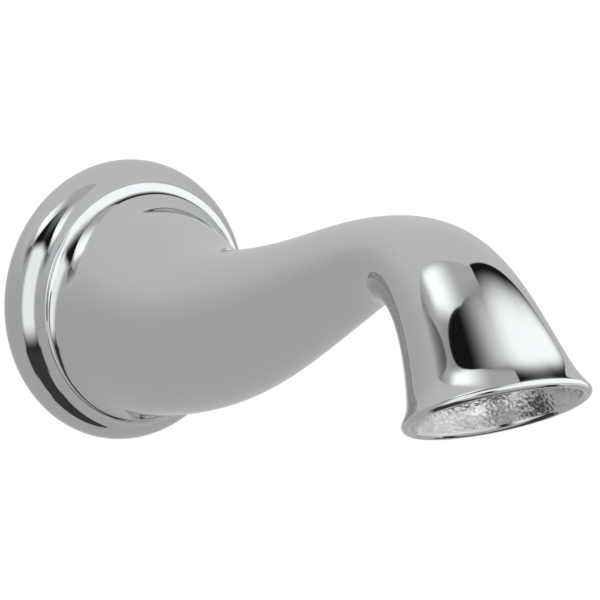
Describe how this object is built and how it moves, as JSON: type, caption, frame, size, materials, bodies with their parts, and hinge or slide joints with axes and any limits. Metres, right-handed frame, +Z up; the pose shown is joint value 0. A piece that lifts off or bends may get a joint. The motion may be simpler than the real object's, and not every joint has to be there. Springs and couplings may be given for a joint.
{
  "type": "bath spout",
  "caption": "Wall-mounted bath spout: stepped round flange, swelling body, S-shaped neck and a bell mouth with a rolled lip.",
  "frame": {"origin": "on the inlet's axis, in the plane of the flange's back face, which lies on the wall", "axes": "+X out of the wall, +Z up, so the spout is the same on both sides of the XZ plane"},
  "size_m": [0.1905, 0.0762, 0.0762],
  "materials": {
    "plated_casting": "polished chrome plate over cast brass",
    "bare_brass": "machined, unplated",
    "seal_rubber": "smooth moulded",
    "screw_steel": "plain stainless steel"
  },
  "bodies": {
    "root": {"spout_body": "plated_casting", "inlet_adapter": "bare_brass", "front_seal": "seal_rubber", "back_seal": "seal_rubber", "set_screw": "screw_steel"}
  },
  "joints": []
}
